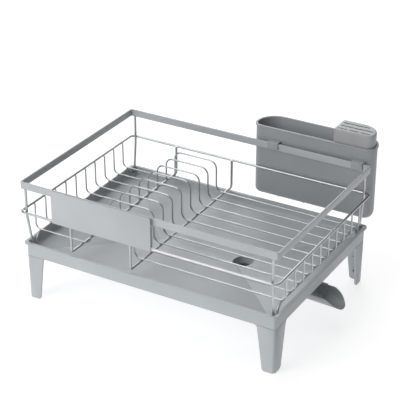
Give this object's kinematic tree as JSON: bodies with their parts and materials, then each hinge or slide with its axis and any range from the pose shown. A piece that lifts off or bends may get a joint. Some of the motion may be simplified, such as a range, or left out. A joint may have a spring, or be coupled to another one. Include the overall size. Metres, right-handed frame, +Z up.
{
  "type": "dish drying rack",
  "caption": "Dish drying rack: a wire basket with plate arches in a drip tray on corner legs, with a swivelling drain spout and a hang-on cutlery holder with a knife block.",
  "frame": {"origin": "on the worktop under the feet, below the centre of the whole rack's bounding box", "axes": "+X towards the end the spout leaves by, +Y towards the back where the cutlery holder hangs, +Z up"},
  "size_m": [0.4548, 0.3572, 0.2365],
  "materials": {
    "painted_rim": "satin light grey powder coat",
    "plated_wire": "satin plated, light grey",
    "tray_plastic": "satin grey",
    "spout_plastic": "satin grey",
    "holder_plastic": "satin grey",
    "block_plastic": "satin grey"
  },
  "bodies": {
    "tray": {"tray": "tray_plastic", "leg_front_right": "tray_plastic", "leg_front_left": "tray_plastic", "leg_back_right": "tray_plastic", "leg_back_left": "tray_plastic"},
    "basket": {"rim_band": "painted_rim", "front_panel": "painted_rim", "middle_ring": "plated_wire", "cross_wire_01": "plated_wire", "cross_wire_02": "plated_wire", "cross_wire_03": "plated_wire", "cross_wire_04": "plated_wire", "cross_wire_05": "plated_wire", "cross_wire_06": "plated_wire", "cross_wire_07": "plated_wire", "cross_wire_08": "plated_wire", "cross_wire_09": "plated_wire", "cross_wire_10": "plated_wire", "long_wire_left": "plated_wire", "long_wire_right": "plated_wire", "end_frame_left": "plated_wire", "end_frame_right": "plated_wire"},
    "cutlery_holder": {"cutlery_holder": "holder_plastic"},
    "knife_block": {"knife_block": "block_plastic"},
    "spout_arm": {"spout_arm": "spout_plastic"},
    "spout_extension": {"spout_extension": "spout_plastic"}
  },
  "joints": [
    {"name": "basket_lift", "type": "slide", "parent": "tray", "child": "basket", "axis": [0, 0, 1], "range_m": [0, 0.12]},
    {"name": "holder_lift", "type": "slide", "parent": "basket", "child": "cutlery_holder", "axis": [0, 0, 1], "range_m": [0, 0.12]},
    {"name": "knife_block_lift", "type": "slide", "parent": "cutlery_holder", "child": "knife_block", "axis": [0, 0, 1], "range_m": [0, 0.06]},
    {"name": "spout_swivel", "type": "hinge", "parent": "tray", "child": "spout_arm", "pos_m": [0.0628, -0.02295, 0.057], "axis": [0, 0, 1], "continuous": true},
    {"name": "spout_slide", "type": "slide", "parent": "spout_arm", "child": "spout_extension", "axis": [0.999, 0, -0.0436], "range_m": [-0.034, 0.004]}
  ]
}
